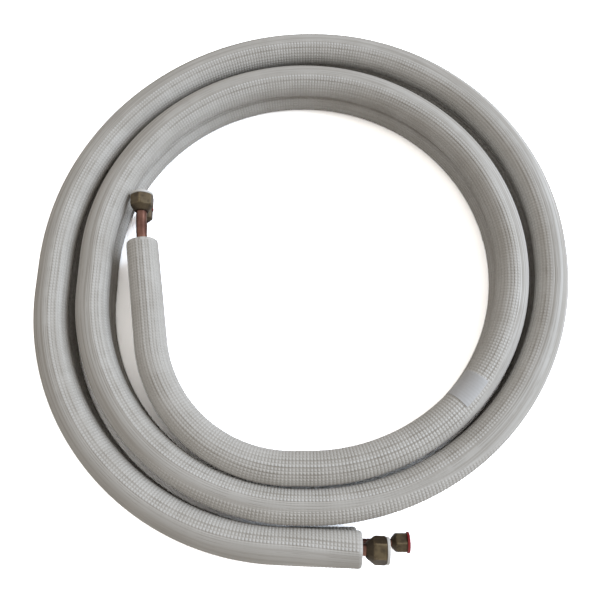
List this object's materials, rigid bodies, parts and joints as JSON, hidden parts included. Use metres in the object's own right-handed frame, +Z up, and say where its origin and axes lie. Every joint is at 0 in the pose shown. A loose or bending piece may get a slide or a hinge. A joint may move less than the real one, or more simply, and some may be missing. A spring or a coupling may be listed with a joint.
{
  "type": "insulated twin copper tube coil",
  "caption": "Twin copper refrigerant line wound flat in a ring, each tube in a ribbed white foam sleeve, with capped brass flare nuts on both ends.",
  "frame": {"origin": "middle of the plan of the outer turn, on the floor", "axes": "+Z up, out of the flat coil; +X along the outer tail, out of its end; +Y away from that tail, across the coil"},
  "size_m": [0.469, 0.4925, 0.0531],
  "materials": {
    "white_foam": "white polyethylene foam under a finely embossed film",
    "copper": null,
    "brass": "dull forged brass",
    "white_cap": "moulded white plastic",
    "red_cap": "moulded red plastic",
    "bare_label": "smooth bare label"
  },
  "bodies": {
    "root": {"gas_sleeve": "white_foam", "liquid_sleeve": "white_foam", "gas_tube": "copper", "liquid_tube": "copper", "gas_nut_outer": "brass", "gas_nut_inner": "brass", "liquid_nut_outer": "brass", "liquid_nut_inner": "brass", "gas_cap_outer": "white_cap", "gas_cap_inner": "white_cap", "liquid_cap_outer": "red_cap", "liquid_cap_inner": "red_cap", "label": "bare_label"}
  },
  "joints": []
}
